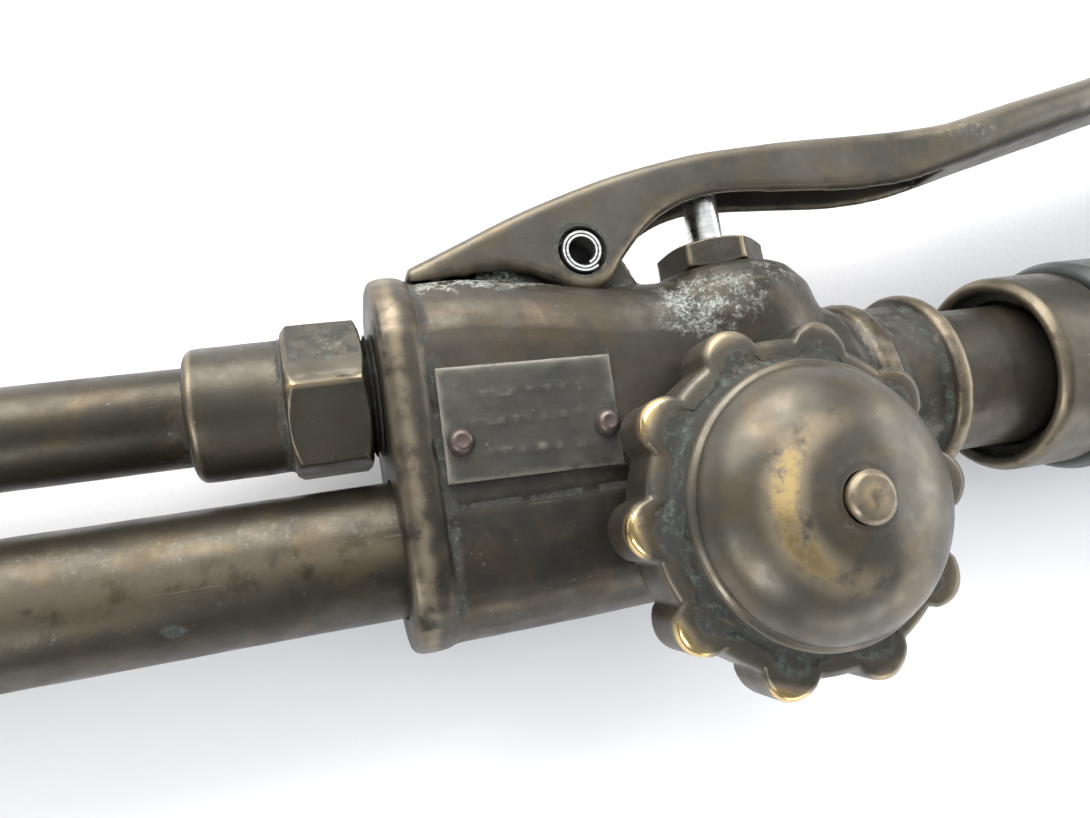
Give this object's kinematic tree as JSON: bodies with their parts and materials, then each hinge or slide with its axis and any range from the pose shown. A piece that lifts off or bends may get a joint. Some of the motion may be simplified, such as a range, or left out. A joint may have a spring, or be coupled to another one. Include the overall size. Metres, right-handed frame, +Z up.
{
  "type": "oxy-fuel hand torch",
  "caption": "Old brass oxy-fuel hand torch with a thumb lever over the cutting-gas valve, lobed needle-valve handwheels, parallel gas tubes, a right-angle head and a round grip",
  "frame": {"origin": "under the middle of the torch's box as it lies on its side on a bench", "axes": "+X from the head to the hose inlets, +Y towards the lever, +Z up out of the bench, the way the preheat handwheel faces"},
  "size_m": [0.4954, 0.1336, 0.043],
  "materials": {
    "body_patina": "cast brass under a dark brown semi-gloss patina, rubbed to gold on edges, verdigris in crevices",
    "wheel_patina": "polished brown patina with gold wear on the lobes and dome, verdigris round the dome",
    "lever_patina": "smooth grey-brown patina, faint gold on the pivot and top edge",
    "fitting_patina": "machined brass gone brown, spanner scratches, bright worn corners",
    "plate_metal": "thin grey-brown plate, rubbed smooth, no lettering",
    "bright_steel": "bright ground steel",
    "brass": "turned brass, dulled with handling",
    "copper": "drawn copper, heat-stained",
    "grip_paint": "smooth dark grey-green enamel on a metal tube, satin",
    "packing": "pale gland packing",
    "seal_rubber": "black seal"
  },
  "bodies": {
    "torch": {"valve_body": "body_patina", "upper_tube": "body_patina", "lower_tube": "body_patina", "head_block": "body_patina", "inlet_block": "body_patina", "upper_tube_nut": "fitting_patina", "gland_nut": "fitting_patina", "valve_plug": "fitting_patina", "preheat_gland_nut": "fitting_patina", "fuel_gland_nut": "fitting_patina", "nozzle_nut": "fitting_patina", "handle_collar": "fitting_patina", "rear_ferrule": "fitting_patina", "plate_rivet_front": "fitting_patina", "plate_rivet_rear": "fitting_patina", "name_plate": "plate_metal", "valve_spring": "bright_steel", "tube_cone": "brass", "injector": "brass", "valve_seat": "brass", "cutting_nozzle": "brass", "oxygen_hose_nut": "brass", "fuel_hose_nut": "brass", "oxygen_hose_tail": "brass", "fuel_hose_tail": "brass", "heating_nozzle": "copper", "oxygen_pipe": "copper", "fuel_pipe": "copper", "grip": "grip_paint", "gland_packing": "packing", "preheat_packing": "packing", "fuel_packing": "packing"},
    "lever": {"lever": "lever_patina", "lever_pin": "bright_steel"},
    "plunger": {"plunger": "bright_steel", "valve_disc": "seal_rubber"},
    "preheat_spindle": {"preheat_spindle": "brass"},
    "preheat_wheel": {"preheat_handwheel": "wheel_patina"},
    "fuel_spindle": {"fuel_spindle": "brass"},
    "fuel_wheel": {"fuel_handwheel": "wheel_patina"}
  },
  "joints": [
    {"name": "lever_pivot", "type": "hinge", "parent": "torch", "child": "lever", "pos_m": [0.01068, 0.04059, 0.0137], "axis": [0, 0, 1], "range_deg": [-8.5, 0], "stiffness_Nm_per_rad": 3, "springref_deg": 5.73},
    {"name": "plunger_slide", "type": "slide", "parent": "torch", "child": "plunger", "axis": [0, 1, 0], "range_m": [-0.0027, 0], "deforming": ["valve_spring"]},
    {"name": "preheat_wheel_turn", "type": "hinge", "parent": "preheat_spindle", "child": "preheat_wheel", "pos_m": [0.02328, 0.00979, 0.0269], "axis": [0, 0, 1], "range_deg": [0, 632]},
    {"name": "preheat_spindle_lift", "type": "slide", "parent": "torch", "child": "preheat_spindle", "axis": [0, 0, 1], "range_m": [0, 0.00175]},
    {"name": "fuel_wheel_turn", "type": "hinge", "parent": "fuel_spindle", "child": "fuel_wheel", "pos_m": [0.19868, -0.00031, 0.0137], "axis": [0, -1, 0], "range_deg": [0, 632]},
    {"name": "fuel_spindle_lift", "type": "slide", "parent": "torch", "child": "fuel_spindle", "axis": [0, -1, 0], "range_m": [0, 0.00175]}
  ],
  "couplings": [
    {"joint": "plunger_slide", "follows": "lever_pivot", "m_per_rad": 0.01774},
    {"joint": "preheat_wheel_turn", "follows": "preheat_spindle_lift", "rad_per_m": 6283.2},
    {"joint": "fuel_wheel_turn", "follows": "fuel_spindle_lift", "rad_per_m": 6283.2}
  ]
}
